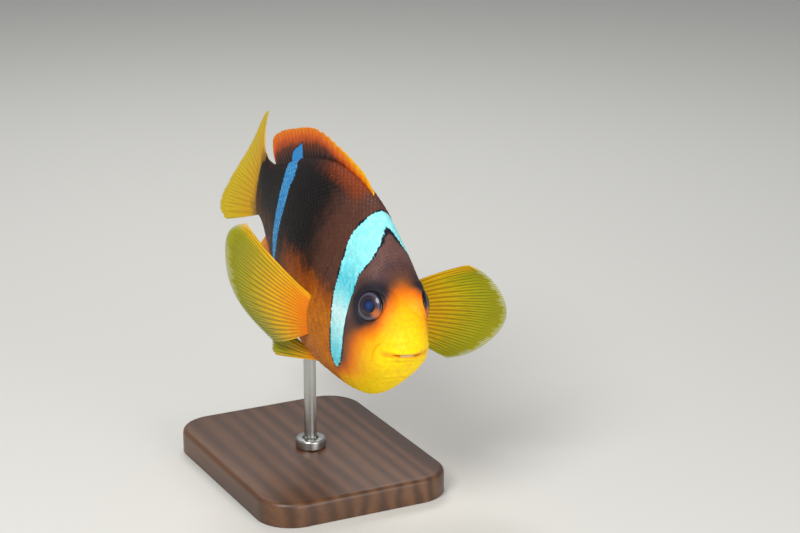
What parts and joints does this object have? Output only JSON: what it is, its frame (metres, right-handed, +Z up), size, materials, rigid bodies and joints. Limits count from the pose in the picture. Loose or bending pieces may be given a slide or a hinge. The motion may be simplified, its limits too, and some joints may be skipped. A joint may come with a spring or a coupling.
{
  "type": "clownfish model on a display stand",
  "caption": "Life-size still model of a two-band anemonefish, held over a flat base by a short rod.",
  "frame": {"origin": "centre of the underside of the stand's base", "axes": "+Z up; the fish faces -Y, nose a little down, with its left side on +X"},
  "size_m": [0.0588, 0.1109, 0.0839],
  "materials": {
    "skin": "wet satin fish skin, dark brown with pale blue bars and an orange-yellow face",
    "fin_orange": "thin translucent fin membrane between rays, orange at the root and yellow at the edge",
    "eye": "clear wet cornea over a dark iris and a blue-black pupil",
    "walnut": "oiled walnut with fine open grain",
    "steel": "brushed stainless steel"
  },
  "bodies": {
    "root": {"head": "skin", "trunk": "skin", "tail_peduncle": "skin", "dorsal_fin_spiny": "fin_orange", "dorsal_fin_soft": "fin_orange", "anal_fin": "fin_orange", "caudal_fin": "fin_orange", "pectoral_fin_left": "fin_orange", "pectoral_fin_right": "fin_orange", "pelvic_fin_left": "fin_orange", "pelvic_fin_right": "fin_orange", "eye_left": "eye", "eye_right": "eye", "stand_base": "walnut", "stand_rod": "steel", "stand_collar": "steel"}
  },
  "joints": []
}
